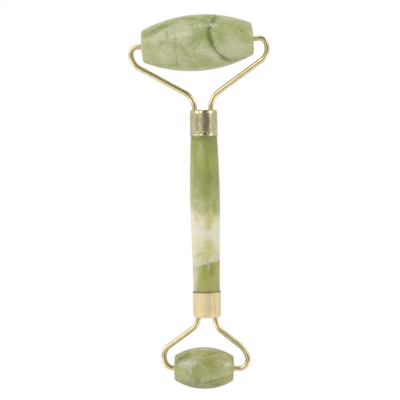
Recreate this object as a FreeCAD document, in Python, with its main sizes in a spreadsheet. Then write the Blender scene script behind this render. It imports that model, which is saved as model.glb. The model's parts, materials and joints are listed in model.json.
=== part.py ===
"""A jade face roller: a turned stone handle with a bent-wire yoke and a barrel-shaped stone at each end.

The roller lies on its two stones. +Z is up, +Y runs along the handle towards the large stone, and the
origin is under the middle of the roller's box. Both ends are built by the same functions, each in its
own end frame: the origin on the handle's axis at the mouth of the ferrule, +Z outwards along the
handle, and +X the same way at both ends. The row of thirteen pieces is written to parts/, one each.
"""

import FreeCAD, Part
import math
import os

import Sketcher

Vector = FreeCAD.Vector
Rotation = FreeCAD.Rotation
Placement = FreeCAD.Placement

# Each driving dimension is a cell of the sheet: its alias, its value in mm or degrees, and what it is.
SHARED_CELLS = [
    ("rod_end_radius", 5.13, "handle beside each ferrule"),
    ("rod_belly_radius", 5.78, "handle at its widest"),
    ("rod_belly_place", 5.0, "widest place, from the handle's middle towards the large stone"),
    ("rod_fade_length", 9.0, "from the widest place to where the outline turns hollow"),
    ("rod_fade_radius", 330.0, "outline along that length"),
    ("spigot_radius", 4.85, "turned-down ends inside the ferrules"),
    ("ferrule_wall", 0.35, "side wall of each drawn cup"),
    ("ferrule_end_wall", 0.5, "closed end of each drawn cup"),
    ("ferrule_inner_round", 0.3, "inner corner of the closed end"),
    ("wire_radius", 1.0, "both yoke wires"),
    ("wire_hole_radius", 1.05, "holes for the legs in the ferrules"),
    ("corner_radius", 1.5, "centre line where the hidden crossbar turns into a leg"),
    ("crossbar_gap", 0.1, "from the end wall to the start of those turns"),
    ("stub_depth", 7.0, "how far each wire end reaches into its stone"),
    ("glue_gap", 0.02, "glue line round the plugs and bushes"),
    ("plug_round", 0.35, "rim of the glue plug, clear of the ferrule's inner corner"),
    ("bore_radius", 2.0, "hole through each stone"),
    ("bore_chamfer", 0.25, "edge of that hole"),
    ("bush_bore_radius", 1.06, "running fit on the wire"),
    ("bush_length", 6.0, "each nylon bush"),
    ("bush_recess", 0.35, "bush below the stone's face"),
    ("bush_chamfer", 0.2, "lead-in at both ends of a bush's bore"),
]
END_CELLS = [
    # alias, large end, small end, what it is
    ("mouth", 29.84, 30.1, "handle's middle to the ferrule's mouth"),
    ("ferrule_radius", 5.3, 5.4, "outside of the ferrule"),
    ("ferrule_length", 10.1, 10.08, "mouth to closed end"),
    ("ferrule_round", 0.7, 0.8, "outer corner of the closed end"),
    ("spigot_length", 6.3, 6.9, "handle inside the ferrule"),
    ("leg_left", 3.5, 3.5, "leg's distance from the handle's axis, towards -X"),
    ("leg_right", 2.8, 3.05, "the same towards +X"),
    ("rise_left", 0.71, 0.12, "straight leg outside the ferrule"),
    ("rise_right", 0.16, 0.2, "the same towards +X"),
    ("throat_left", 6.8, 5.4, "bend from the leg to the arm"),
    ("throat_right", 8.7, 7.3, "the same towards +X"),
    ("arm_left", 29.3, 35.4, "arm's angle, measured from X"),
    ("arm_right", 35.3, 38.9, "the same towards +X"),
    ("elbow_left", 6.8, 5.2, "wide bend at the end of the arm"),
    ("elbow_right", 5.8, 9.0, "the same towards +X"),
    ("elbow_turn_left", 57.4, 95.8, "how far the wide bend turns"),
    ("elbow_turn_right", 77.7, 37.4, "the same towards +X"),
    ("hook_left", 2.7, 2.7, "tight bend that ends on the stone's axis"),
    ("hook_right", 2.7, 3.4, "the same towards +X"),
    ("axle_offset", 1.87, 1.6, "stone's centre beside the handle's axis, towards -X"),
    ("axle_reach", 36.02, 29.97, "ferrule's mouth to the stone's centre"),
    ("axle_tilt", 3.2, 1.6, "stone's axis, its +X end leaning outwards"),
    ("stone_half", 21.75, 11.65, "half the stone's length"),
    ("stone_radius", 10.9, 8.12, "stone at its widest"),
    ("stone_outline", 50.0, 21.1, "arc of the stone's outline"),
    ("face_outline", 40.0, 42.0, "sphere of the slightly domed end faces"),
    ("rim_round", 1.2, 1.0, "edge between outline and face"),
]
ENDS = ("large", "small")
SIDES = (("left", -1), ("right", 1))

EDGE_MATCH = 1e-4  # mm, how closely an edge must lie where it is looked for
HOLE_TOLERANCE = 0.05  # share of the volume that drilling the leg holes should remove
SWEEP_TOLERANCE = 0.005  # share of a bent wire's volume
PLUG_LEFT = (0.5, 0.9)  # least and most of the glue plug that may be left round the crossbar

doc = FreeCAD.newDocument("jade_face_roller")
sheet = doc.addObject("Spreadsheet::Sheet", "Dimensions")


def fill_sheet():
    """One row for each driving dimension: its alias, its value and what it is."""
    rows = list(SHARED_CELLS)
    for alias, large_value, small_value, note in END_CELLS:
        rows.append((f"large_{alias}", large_value, note))
        rows.append((f"small_{alias}", small_value, note))
    for number, (alias, value, note) in enumerate(rows, start=1):
        sheet.set(f"A{number}", alias)
        sheet.set(f"B{number}", str(value))
        sheet.set(f"C{number}", note)
        sheet.setAlias(f"B{number}", alias)
    doc.recompute()


def cell(alias):
    """The name that an expression uses for a cell."""
    return f"Dimensions.{alias}"


def size(expression):
    """The present value of an expression of cells, in mm or degrees."""
    value = sheet.evalExpression(expression)
    return float(getattr(value, "Value", value))


def new_body(label):
    body = doc.addObject("PartDesign::Body", label)
    body.Label = label
    return body


def new_sketch(body, name, role):
    """A sketch on one of the body's own origin planes."""
    sketch = body.newObject("Sketcher::SketchObject", f"{body.Name}_{name}")
    plane = next(feature for feature in body.Origin.OriginFeatures if feature.Role == role)
    sketch.AttachmentSupport = [(plane, "")]
    sketch.MapMode = "FlatFace"
    return sketch


def drive(sketch, kind, places, expression):
    """A sketch constraint that follows the sheet."""
    value = size(expression)
    if kind == "Angle":
        value = math.radians(value)
    index = sketch.addConstraint(Sketcher.Constraint(kind, *places, value))
    sketch.setExpression(f"Constraints[{index}]", expression)


def join_ends(sketch, first, last):
    """Joins the outline's geometry first to last end to start, and the last one back to the first."""
    for index in range(first, last):
        sketch.addConstraint(Sketcher.Constraint("Coincident", index, 2, index + 1, 1))
    sketch.addConstraint(Sketcher.Constraint("Coincident", last, 2, first, 1))


def segment(start, finish):
    return Part.LineSegment(Vector(*start, 0), Vector(*finish, 0))


def arc_between(centre, start, finish):
    """The arc about centre that runs counter-clockwise from start to finish."""
    radius = math.hypot(start[0] - centre[0], start[1] - centre[1])
    first = math.atan2(start[1] - centre[1], start[0] - centre[0])
    last = math.atan2(finish[1] - centre[1], finish[0] - centre[0])
    circle = Part.Circle(Vector(*centre, 0), Vector(0, 0, 1), radius)
    return Part.ArcOfCircle(circle, first, last)


def revolve(body, sketch):
    """Turns a half section about the sketch's upright axis."""
    revolution = body.newObject("PartDesign::Revolution", f"{body.Name}_turned")
    revolution.Profile = sketch
    revolution.ReferenceAxis = (sketch, ["V_Axis"])
    revolution.Angle = 360
    sketch.Visibility = False
    doc.recompute()
    return revolution


def circle_edges(feature, radius, heights=None):
    """The names of the feature's circular edges of this radius, at these heights if they are given."""
    names = []
    for number, edge in enumerate(feature.Shape.Edges, start=1):
        if not isinstance(edge.Curve, Part.Circle) or abs(edge.Curve.Radius - radius) > EDGE_MATCH:
            continue
        height = edge.Curve.Center.z
        if heights is None or any(abs(height - wanted) < EDGE_MATCH for wanted in heights):
            names.append(f"Edge{number}")
    return names


def soften(body, feature, kind, edges, expression):
    """Rounds ("Fillet") or bevels ("Chamfer") the named edges of a feature."""
    softened = body.newObject(f"PartDesign::{kind}", f"{body.Name}_{kind}_{len(body.Group)}")
    softened.Base = (feature, edges)
    softened.setExpression("Radius" if kind == "Fillet" else "Size", expression)
    doc.recompute()
    return softened


def make_rod():
    """The stone handle along Z, with its middle at the origin and a spigot at each end."""
    body = new_body("handle_rod")
    sketch = new_sketch(body, "profile", "XZ_Plane")
    belly_r, end_r = size(cell("rod_belly_radius")), size(cell("rod_end_radius"))
    spigot_r = size(cell("spigot_radius"))
    belly = size(cell("rod_belly_place"))
    top, bottom = size(cell("large_mouth")), -size(cell("small_mouth"))
    top_end = top + size(cell("large_spigot_length"))
    bottom_end = bottom - size(cell("small_spigot_length"))
    # The outline below the belly is an arc about fade_centre, then a hollow arc tangent to it.
    fade_r, fade = size(cell("rod_fade_radius")), size(cell("rod_fade_length"))
    fade_centre = (belly_r - fade_r, belly)
    inward = (-math.sqrt(fade_r**2 - fade**2) / fade_r, fade / fade_r)
    turning = (fade_centre[0] - inward[0] * fade_r, belly - fade)
    across = (end_r - turning[0], bottom - turning[1])
    hollow_r = -(across[0] ** 2 + across[1] ** 2) / (2 * (across[0] * inward[0] + across[1] * inward[1]))
    hollow_centre = (turning[0] - inward[0] * hollow_r, turning[1] - inward[1] * hollow_r)
    drop, run = belly_r - end_r, top - belly
    upper_r = (run**2 + drop**2) / (2 * drop)
    hollow = arc_between(hollow_centre, turning, (end_r, bottom))
    geometry = [
        segment((0, bottom_end), (spigot_r, bottom_end)),
        segment((spigot_r, bottom_end), (spigot_r, bottom)),
        segment((spigot_r, bottom), (end_r, bottom)),
        hollow,
        arc_between(fade_centre, turning, (belly_r, belly)),
        arc_between((belly_r - upper_r, belly), (belly_r, belly), (end_r, top)),
        segment((end_r, top), (spigot_r, top)),
        segment((spigot_r, top), (spigot_r, top_end)),
        segment((spigot_r, top_end), (0, top_end)),
        segment((0, top_end), (0, bottom_end)),
    ]
    sketch.addGeometry(geometry)
    # Only the hollow arc, number 3, starts at its upper end: an arc always runs counter-clockwise.
    for index in (0, 1, 5, 6, 7, 8, 9):
        sketch.addConstraint(Sketcher.Constraint("Coincident", index, 2, (index + 1) % len(geometry), 1))
    sketch.addConstraint(Sketcher.Constraint("Coincident", 2, 2, 3, 2))
    sketch.addConstraint(Sketcher.Constraint("Tangent", 3, 1, 4, 1))
    sketch.addConstraint(Sketcher.Constraint("Tangent", 4, 2, 5, 1))
    for level in (0, 2, 6, 8):
        sketch.addConstraint(Sketcher.Constraint("Horizontal", level))
    for upright in (1, 7, 9):
        sketch.addConstraint(Sketcher.Constraint("Vertical", upright))
    sketch.addConstraint(Sketcher.Constraint("PointOnObject", 9, 1, -2))
    sketch.addConstraint(Sketcher.Constraint("Horizontal", 4, 3, 4, 2))
    for point, alias in (((0, 2), "spigot_radius"), ((7, 1), "spigot_radius"), ((2, 2), "rod_end_radius"),
                         ((5, 2), "rod_end_radius"), ((4, 2), "rod_belly_radius")):
        drive(sketch, "DistanceX", (-1, 1, *point), cell(alias))
    drive(sketch, "DistanceY", (-1, 1, 4, 2), cell("rod_belly_place"))
    drive(sketch, "DistanceY", (4, 1, 4, 2), cell("rod_fade_length"))
    drive(sketch, "Radius", (4,), cell("rod_fade_radius"))
    drive(sketch, "DistanceY", (-1, 1, 6, 2), cell("large_mouth"))
    drive(sketch, "DistanceY", (2, 1, -1, 1), cell("small_mouth"))
    drive(sketch, "DistanceY", (7, 1, 7, 2), cell("large_spigot_length"))
    drive(sketch, "DistanceY", (1, 1, 1, 2), cell("small_spigot_length"))
    revolve(body, sketch)
    return body


def make_ferrule(end):
    """A drawn cup with its mouth at the origin, its closed end up, and two holes for the yoke's legs."""
    body = new_body(f"{end}_ferrule")
    sketch = new_sketch(body, "profile", "XZ_Plane")
    outer, length = size(cell(f"{end}_ferrule_radius")), size(cell(f"{end}_ferrule_length"))
    inner, roof = outer - size(cell("ferrule_wall")), length - size(cell("ferrule_end_wall"))
    corners = [(inner, 0), (outer, 0), (outer, length), (0, length), (0, roof), (inner, roof)]
    sketch.addGeometry([segment(corners[n], corners[(n + 1) % 6]) for n in range(6)])
    join_ends(sketch, 0, 5)
    for level in (0, 2, 4):
        sketch.addConstraint(Sketcher.Constraint("Horizontal", level))
    for upright in (1, 3, 5):
        sketch.addConstraint(Sketcher.Constraint("Vertical", upright))
    sketch.addConstraint(Sketcher.Constraint("PointOnObject", 0, 1, -1))
    sketch.addConstraint(Sketcher.Constraint("PointOnObject", 3, 1, -2))
    drive(sketch, "DistanceX", (-1, 1, 0, 2), cell(f"{end}_ferrule_radius"))
    drive(sketch, "DistanceX", (0, 1, 0, 2), cell("ferrule_wall"))
    drive(sketch, "DistanceY", (1, 1, 1, 2), cell(f"{end}_ferrule_length"))
    drive(sketch, "DistanceY", (3, 2, 3, 1), cell("ferrule_end_wall"))
    cup = revolve(body, sketch)

    cup = soften(body, cup, "Fillet", circle_edges(cup, outer, [length]), cell(f"{end}_ferrule_round"))
    cup = soften(body, cup, "Fillet", circle_edges(cup, inner, [roof]), cell("ferrule_inner_round"))

    holes = new_sketch(body, "holes", "XY_Plane")
    for index, (side, sign) in enumerate(SIDES):
        place = Vector(sign * size(cell(f"{end}_leg_{side}")), 0, 0)
        holes.addGeometry(Part.Circle(place, Vector(0, 0, 1), size(cell("wire_hole_radius"))))
        drive(holes, "Radius", (index,), cell("wire_hole_radius"))
        holes.addConstraint(Sketcher.Constraint("PointOnObject", index, 3, -1))
        ends = (index, 3, -1, 1) if sign < 0 else (-1, 1, index, 3)
        drive(holes, "DistanceX", ends, cell(f"{end}_leg_{side}"))
    uncut = cup.Shape.Volume
    pocket = body.newObject("PartDesign::Pocket", f"{body.Name}_leg_holes")
    pocket.Profile = holes
    pocket.Type = "ThroughAll"
    pocket.Reversed = True
    holes.Visibility = False
    doc.recompute()
    removed = uncut - pocket.Shape.Volume
    expected = 2 * math.pi * size(cell("wire_hole_radius")) ** 2 * size(cell("ferrule_end_wall"))
    if abs(removed - expected) > HOLE_TOLERANCE * expected:
        raise RuntimeError(f"{body.Label}: the leg holes remove {removed:.3f} mm3, not {expected:.3f}")
    return body


def heading(angle):
    """The unit direction at an angle in degrees."""
    return Vector(math.cos(math.radians(angle)), math.sin(math.radians(angle)), 0)


class Bend:
    """One arc of a wire's centre line. It leaves start along an angle and turns, to the left if turn > 0."""

    def __init__(self, start, angle, radius, turn):
        side = 90 if turn > 0 else -90
        centre = start + heading(angle + side) * radius
        angles = sorted((angle - side, angle - side + turn))
        circle = Part.Circle(centre, Vector(0, 0, 1), radius)
        self.geometry = Part.ArcOfCircle(circle, *map(math.radians, angles))
        self.ends = (1, 2) if turn > 0 else (2, 1)
        self.finish = centre + heading(angle - side + turn) * radius
        self.angle = angle + turn


class Run:
    """One straight run of a wire's centre line. A run that is drawn backwards starts at its second point."""

    def __init__(self, start, finish, backwards=False):
        first, second = (finish, start) if backwards else (start, finish)
        self.geometry = Part.LineSegment(first, second)
        self.ends = (2, 1) if backwards else (1, 2)


def arm_runs(end, side, sign):
    """One arm in the end frame: leg, throat bend, arm, elbow, hook and the stub on the stone's axis."""
    def value(name):
        return size(cell(f"{end}_{name}_{side}"))

    ferrule_end = size(cell(f"{end}_ferrule_length"))
    foot = Vector(sign * value("leg"), size(crossbar_height(end)) + size(cell("corner_radius")), 0)
    leg_end = Vector(foot.x, ferrule_end + value("rise"), 0)
    throat = Bend(leg_end, 90, value("throat"), -sign * (90 - value("arm")))
    tilt = size(cell(f"{end}_axle_tilt"))
    stub_angle = tilt if sign < 0 else 180 + tilt
    elbow_turn = sign * value("elbow_turn")
    hook_turn = stub_angle - throat.angle - elbow_turn
    tip = Vector(-size(cell(f"{end}_axle_offset")), size(cell(f"{end}_axle_reach")), 0)
    tip += heading(tilt) * sign * (size(cell(f"{end}_stone_half")) - size(cell("stub_depth")))

    # The arm is as long as it takes for the hook to end on the stone's axis.
    trial = Bend(throat.finish, throat.angle, value("elbow"), elbow_turn)
    trial = Bend(trial.finish, trial.angle, value("hook"), hook_turn)
    off_axis = heading(stub_angle + 90)
    arm_length = (tip - trial.finish).dot(off_axis) / heading(throat.angle).dot(off_axis)
    arm_end = throat.finish + heading(throat.angle) * arm_length
    elbow = Bend(arm_end, throat.angle, value("elbow"), elbow_turn)
    hook = Bend(elbow.finish, elbow.angle, value("hook"), hook_turn)
    stub = Run(hook.finish, tip, backwards=sign > 0)
    return [Run(foot, leg_end), throat, Run(throat.finish, arm_end), elbow, hook, stub]


def crossbar_height(end):
    """The hidden crossbar's height in the end frame, as an expression."""
    below_end = [cell("ferrule_end_wall"), cell("crossbar_gap"), cell("corner_radius")]
    return " - ".join([cell(f"{end}_ferrule_length")] + below_end)


def draw_path(sketch, path):
    """Draws a wire's centre line, each piece tangent to the next."""
    sketch.addGeometry([piece.geometry for piece in path])
    for index in range(len(path) - 1):
        places = (index, path[index].ends[1], index + 1, path[index + 1].ends[0])
        sketch.addConstraint(Sketcher.Constraint("Tangent", *places))


def pipe(body, path_sketch, kind, radius_expression):
    """A round section swept along a path from its first edge, added to the body or cut from it."""
    section = body.newObject("Sketcher::SketchObject", f"{body.Name}_section")
    section.AttachmentSupport = [(path_sketch, "Edge1")]
    section.MapMode = "NormalToEdge"
    section.MapPathParameter = 0
    section.addGeometry(Part.Circle(Vector(0, 0, 0), Vector(0, 0, 1), size(radius_expression)))
    section.addConstraint(Sketcher.Constraint("Coincident", 0, 3, -1, 1))
    drive(section, "Radius", (0,), radius_expression)
    doc.recompute()
    swept = body.newObject(f"PartDesign::{kind}", f"{body.Name}_wire")
    swept.Profile = section
    swept.Spine = (path_sketch, [f"Edge{n + 1}" for n in range(path_sketch.GeometryCount)])
    section.Visibility = False
    path_sketch.Visibility = False
    doc.recompute()
    return swept


def crossbar_path(end):
    """The hidden crossbar with its two corners, from the left leg to the right one, in the end frame."""
    corner_r, height = size(cell("corner_radius")), size(crossbar_height(end))
    left, right = -size(cell(f"{end}_leg_left")), size(cell(f"{end}_leg_right"))
    left_corner = Bend(Vector(left, height + corner_r, 0), -90, corner_r, 90)
    crossbar = Run(left_corner.finish, Vector(right - corner_r, height, 0))
    right_corner = Bend(Vector(right - corner_r, height, 0), 0, corner_r, 90)
    return [left_corner, crossbar, right_corner]


def hold_crossbar(sketch, end, height_expression, left_leg, crossbar, right_leg):
    """Holds the legs upright and the crossbar level, at the places that the sheet gives."""
    sketch.addConstraint(Sketcher.Constraint("Vertical", left_leg))
    sketch.addConstraint(Sketcher.Constraint("Vertical", right_leg))
    sketch.addConstraint(Sketcher.Constraint("Horizontal", crossbar))
    for corner in (crossbar - 1, crossbar + 1):
        drive(sketch, "Radius", (corner,), cell("corner_radius"))
    drive(sketch, "DistanceY", (-1, 1, crossbar, 1), height_expression)
    drive(sketch, "DistanceX", (left_leg, 1, -1, 1), cell(f"{end}_leg_left"))
    drive(sketch, "DistanceX", (-1, 1, right_leg, 1), cell(f"{end}_leg_right"))


def make_yoke(end):
    """One bent wire: stub, hook, elbow, arm, throat and leg, the crossbar, and the same back to a stub."""
    body = new_body(f"{end}_yoke_wire")
    sketch = new_sketch(body, "centre_line", "XZ_Plane")
    left = arm_runs(end, *SIDES[0])
    right = arm_runs(end, *SIDES[1])
    for piece in left:
        piece.ends = piece.ends[::-1]
    path = left[::-1] + crossbar_path(end) + right
    draw_path(sketch, path)
    number = {id(piece): index for index, piece in enumerate(path)}
    legs = number[id(left[0])], number[id(right[0])]
    hold_crossbar(sketch, end, crossbar_height(end), legs[0], len(left) + 1, legs[1])
    for pieces, (side, sign) in zip((left, right), SIDES):
        leg, throat, arm, elbow, hook, stub = (number[id(piece)] for piece in pieces)
        rise = f"{cell(f'{end}_ferrule_length')} + {cell(f'{end}_rise_{side}')}"
        drive(sketch, "DistanceY", (-1, 1, leg, 2), rise)
        drive(sketch, "Radius", (throat,), cell(f"{end}_throat_{side}"))
        drive(sketch, "Radius", (elbow,), cell(f"{end}_elbow_{side}"))
        drive(sketch, "Radius", (hook,), cell(f"{end}_hook_{side}"))
        drive(sketch, "Angle", (elbow,), cell(f"{end}_elbow_turn_{side}"))
        arm_angle = cell(f"{end}_arm_{side}")
        drive(sketch, "Angle", (arm,), arm_angle if sign > 0 else f"180 - {arm_angle}")
        drive(sketch, "Angle", (stub,), cell(f"{end}_axle_tilt"))
        inner = f"({cell(f'{end}_stone_half')} - {cell('stub_depth')})"
        tilt = f"({cell(f'{end}_axle_tilt')} * 1 deg)"
        offset, reach = cell(f"{end}_axle_offset"), cell(f"{end}_axle_reach")
        tip_end = 2 if sign < 0 else 1
        if sign < 0:
            drive(sketch, "DistanceX", (stub, tip_end, -1, 1), f"{offset} + {inner} * cos{tilt}")
            drive(sketch, "DistanceY", (-1, 1, stub, tip_end), f"{reach} - {inner} * sin{tilt}")
        else:
            drive(sketch, "DistanceX", (-1, 1, stub, tip_end), f"{inner} * cos{tilt} - {offset}")
            drive(sketch, "DistanceY", (-1, 1, stub, tip_end), f"{reach} + {inner} * sin{tilt}")
    doc.recompute()
    swept = pipe(body, sketch, "AdditivePipe", cell("wire_radius"))
    length = sum(edge.Length for edge in sketch.Shape.Edges)
    expected = math.pi * size(cell("wire_radius")) ** 2 * length
    print(f"{body.Label}: wire {length:.2f} mm long, {swept.Shape.Volume:.2f} of {expected:.2f} mm3")
    if abs(swept.Shape.Volume - expected) > SWEEP_TOLERANCE * expected:
        raise RuntimeError(f"{body.Label}: the swept volume is wrong")
    return body


def make_plug(end):
    """The set glue between the spigot and the ferrule's end, with the crossbar's staple cut out of it.

    Its origin is the spigot's end face, in line with the end frame.
    """
    body = new_body(f"{end}_epoxy_plug")
    radius_expression = f"{cell(f'{end}_ferrule_radius')} - {cell('ferrule_wall')} - {cell('glue_gap')}"
    spigot = cell(f"{end}_spigot_length")
    outline = new_sketch(body, "outline", "XY_Plane")
    outline.addGeometry(Part.Circle(Vector(0, 0, 0), Vector(0, 0, 1), size(radius_expression)))
    outline.addConstraint(Sketcher.Constraint("Coincident", 0, 3, -1, 1))
    drive(outline, "Radius", (0,), radius_expression)
    depth_expression = f"{cell(f'{end}_ferrule_length')} - {cell('ferrule_end_wall')} - {spigot}"
    pad = body.newObject("PartDesign::Pad", f"{body.Name}_disc")
    pad.Profile = outline
    pad.setExpression("Length", depth_expression)
    outline.Visibility = False
    doc.recompute()
    top_edges = circle_edges(pad, size(radius_expression), [size(depth_expression)])
    solid = soften(body, pad, "Fillet", top_edges, cell("plug_round"))

    # The groove follows the crossbar, and its two legs run out through the top face.
    groove = new_sketch(body, "groove", "XZ_Plane")
    path = crossbar_path(end)
    beyond = size(cell(f"{end}_ferrule_length"))
    foot = size(crossbar_height(end)) + size(cell("corner_radius"))
    left, right = -size(cell(f"{end}_leg_left")), size(cell(f"{end}_leg_right"))
    path.insert(0, Run(Vector(left, beyond, 0), Vector(left, foot, 0), backwards=True))
    path.append(Run(Vector(right, foot, 0), Vector(right, beyond, 0)))
    for piece in path:
        piece.geometry.translate(Vector(0, -size(spigot), 0))
    draw_path(groove, path)
    hold_crossbar(groove, end, f"{crossbar_height(end)} - {spigot}", 0, 2, 4)
    for leg in (0, 4):
        drive(groove, "DistanceY", (-1, 1, leg, 2), f"{cell(f'{end}_ferrule_length')} - {spigot}")
    doc.recompute()
    whole = solid.Shape.Volume
    cut = pipe(body, groove, "SubtractivePipe", f"{cell('wire_radius')} + {cell('glue_gap')}")
    if not PLUG_LEFT[0] * whole < cut.Shape.Volume < PLUG_LEFT[1] * whole:
        raise RuntimeError(f"{body.Label}: {cut.Shape.Volume:.2f} of {whole:.2f} mm3 is left")
    return body


def make_stone(end):
    """A barrel-shaped stone about Z, centred on the origin, with domed faces and a bore through it."""
    body = new_body(f"{end}_roller_stone")
    sketch = new_sketch(body, "profile", "XZ_Plane")
    bore, half = size(cell("bore_radius")), size(cell(f"{end}_stone_half"))
    widest, outline = size(cell(f"{end}_stone_radius")), size(cell(f"{end}_stone_outline"))
    face = size(cell(f"{end}_face_outline"))
    barrel_centre = (widest - outline, 0)
    top_centre, bottom_centre = (0, half - face), (0, face - half)
    bore_top = top_centre[1] + math.sqrt(face**2 - bore**2)
    # The rim is where the barrel's circle meets the face's circle.
    gap = math.hypot(*(barrel_centre[0], top_centre[1]))
    along = (outline**2 - face**2 + gap**2) / (2 * gap)
    off = math.sqrt(outline**2 - along**2)
    unit = (-barrel_centre[0] / gap, top_centre[1] / gap)
    rim = (barrel_centre[0] + along * unit[0] - off * unit[1], along * unit[1] + off * unit[0])
    sketch.addGeometry([
        segment((bore, bore_top), (bore, -bore_top)),
        arc_between(bottom_centre, (bore, -bore_top), (rim[0], -rim[1])),
        arc_between(barrel_centre, (rim[0], -rim[1]), rim),
        arc_between(top_centre, rim, (bore, bore_top)),
    ])
    join_ends(sketch, 0, 3)
    sketch.addConstraint(Sketcher.Constraint("Vertical", 0))
    sketch.addConstraint(Sketcher.Constraint("PointOnObject", 2, 3, -1))
    sketch.addConstraint(Sketcher.Constraint("PointOnObject", 1, 3, -2))
    sketch.addConstraint(Sketcher.Constraint("PointOnObject", 3, 3, -2))
    drive(sketch, "DistanceX", (-1, 1, 0, 1), cell("bore_radius"))
    drive(sketch, "Radius", (2,), cell(f"{end}_stone_outline"))
    barrel_offset = f"{cell(f'{end}_stone_outline')} - {cell(f'{end}_stone_radius')}"
    drive(sketch, "DistanceX", (2, 3, -1, 1), barrel_offset)
    face_offset = f"{cell(f'{end}_face_outline')} - {cell(f'{end}_stone_half')}"
    for index, places in ((1, (-1, 1, 1, 3)), (3, (3, 3, -1, 1))):
        drive(sketch, "Radius", (index,), cell(f"{end}_face_outline"))
        drive(sketch, "DistanceY", places, face_offset)
    stone = revolve(body, sketch)
    rims = circle_edges(stone, rim[0], [rim[1], -rim[1]])
    stone = soften(body, stone, "Fillet", rims, cell(f"{end}_rim_round"))
    soften(body, stone, "Chamfer", circle_edges(stone, bore), cell("bore_chamfer"))
    return body


def make_bush(end, side):
    """A plain nylon tube about Z, centred on the origin, with a lead-in at both ends of its bore."""
    body = new_body(f"{end}_bush_{side}")
    sketch = new_sketch(body, "profile", "XZ_Plane")
    outer_expression = f"{cell('bore_radius')} - {cell('glue_gap')}"
    inner, outer = size(cell("bush_bore_radius")), size(outer_expression)
    half = size(cell("bush_length")) / 2
    corners = [(inner, -half), (outer, -half), (outer, half), (inner, half)]
    sketch.addGeometry([segment(corners[n], corners[(n + 1) % 4]) for n in range(4)])
    join_ends(sketch, 0, 3)
    for level in (0, 2):
        sketch.addConstraint(Sketcher.Constraint("Horizontal", level))
    for upright in (1, 3):
        sketch.addConstraint(Sketcher.Constraint("Vertical", upright))
    drive(sketch, "DistanceX", (-1, 1, 0, 1), cell("bush_bore_radius"))
    drive(sketch, "DistanceX", (-1, 1, 0, 2), outer_expression)
    drive(sketch, "DistanceY", (1, 1, 1, 2), cell("bush_length"))
    drive(sketch, "DistanceY", (0, 1, -1, 1), f"{cell('bush_length')} / 2")
    bush = revolve(body, sketch)
    soften(body, bush, "Chamfer", circle_edges(bush, inner), cell("bush_chamfer"))
    return body


def lying_angle():
    """How far the handle's axis slopes when both stones rest on one level surface."""
    lift = size(cell("large_stone_radius")) - size(cell("small_stone_radius"))
    apart = sum(size(f"{cell(f'{end}_mouth')} + {cell(f'{end}_axle_reach')}") for end in ENDS)
    return math.degrees(math.asin(lift / apart))


def end_placement(end, handle_place):
    """Where an end frame lies: at its ferrule's mouth, with +Z out along the handle and +X kept."""
    outwards = -90 if end == "large" else 90
    turned = Placement(Vector(), Rotation(Vector(1, 0, 0), outwards))
    return handle_place * turned * Placement(Vector(0, 0, size(cell(f"{end}_mouth"))), Rotation())


def axle_placement(end):
    """A stone's place in the end frame: +Z of the stone along its axle, towards +X."""
    centre = Vector(-size(cell(f"{end}_axle_offset")), 0, size(cell(f"{end}_axle_reach")))
    return Placement(centre, Rotation(Vector(0, 1, 0), 90 - size(cell(f"{end}_axle_tilt"))))


def make_end(end):
    """One end's pieces, each with its place in the end frame."""
    spigot_end = Placement(Vector(0, 0, size(cell(f"{end}_spigot_length"))), Rotation())
    axle = axle_placement(end)
    pieces = [
        (make_ferrule(end), Placement()),
        (make_yoke(end), Placement()),
        (make_plug(end), spigot_end),
        (make_stone(end), axle),
    ]
    inset = size(f"{cell(f'{end}_stone_half')} - {cell('bush_recess')} - {cell('bush_length')} / 2")
    for side, sign in SIDES:
        place = axle * Placement(Vector(0, 0, sign * inset), Rotation())
        pieces.append((make_bush(end, side), place))
    return pieces


def lay_down(rod, ends):
    """Places every piece: the stones' bellies on Z = 0 and the whole box centred over the origin."""
    slope = Rotation(Vector(1, 0, 0), lying_angle())
    large_centre = slope.multVec(Vector(0, size(f"{cell('large_mouth')} + {cell('large_axle_reach')}"), 0))
    height = size(cell("large_stone_radius")) - large_centre.z
    handle_place = Placement(Vector(0, 0, height), slope)
    upright = Placement(Vector(), Rotation(Vector(1, 0, 0), -90))
    placed = [(rod, handle_place * upright)]
    for end in ENDS:
        placed += [(body, end_placement(end, handle_place) * local) for body, local in ends[end]]
    for body, place in placed:
        body.Placement = place
    doc.recompute()
    box = FreeCAD.BoundBox()
    for body, place in placed:
        box.add(body.Shape.optimalBoundingBox(False, False))
    shift = Vector(-box.Center.x, -box.Center.y, 0)
    for body, place in placed:
        body.Placement = Placement(place.Base + shift, place.Rotation)
    doc.recompute()
    print(f"box {box.XLength:.2f} x {box.YLength:.2f} x {box.ZLength:.2f} mm, lowest {box.ZMin:.4f}")
    print(f"slope {lying_angle():.3f} degrees, shift {shift.x:.3f}, {shift.y:.3f}, height {height:.3f}")
    return [body for body, place in placed]


def check_document(bodies):
    """Stops if any object failed, or if a sub-part is not one valid solid."""
    for item in doc.Objects:
        if "Invalid" in item.State or "Error" in item.State:
            raise RuntimeError(f"{item.Name} is {item.State}")
        if item.TypeId == "Sketcher::SketchObject" and item.solve() != 0:
            raise RuntimeError(f"{item.Name} does not solve")
    for body in bodies:
        shape = body.Shape
        if shape.isNull() or not shape.isValid() or len(shape.Solids) != 1:
            raise RuntimeError(f"{body.Label} is not one valid solid")


fill_sheet()
handle_rod = make_rod()
end_pieces = {end: make_end(end) for end in ENDS}
sub_parts = lay_down(handle_rod, end_pieces)
check_document(sub_parts)
os.makedirs("parts", exist_ok=True)
for body in sub_parts:
    body.Shape.exportStep(f"parts/{body.Label}.step")
print(f"{len(sub_parts)} parts written")
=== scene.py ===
"""The looks of a jade face roller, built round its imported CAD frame.

Every visible piece is drawn here in millimetres, in a frame of its own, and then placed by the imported
record: the handle and its brass by the mount on its grip, the two stones by the joints that they spin on.
The sizes are those of the CAD parts, so each piece lies where the part that it stands for lies.
"""

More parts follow.
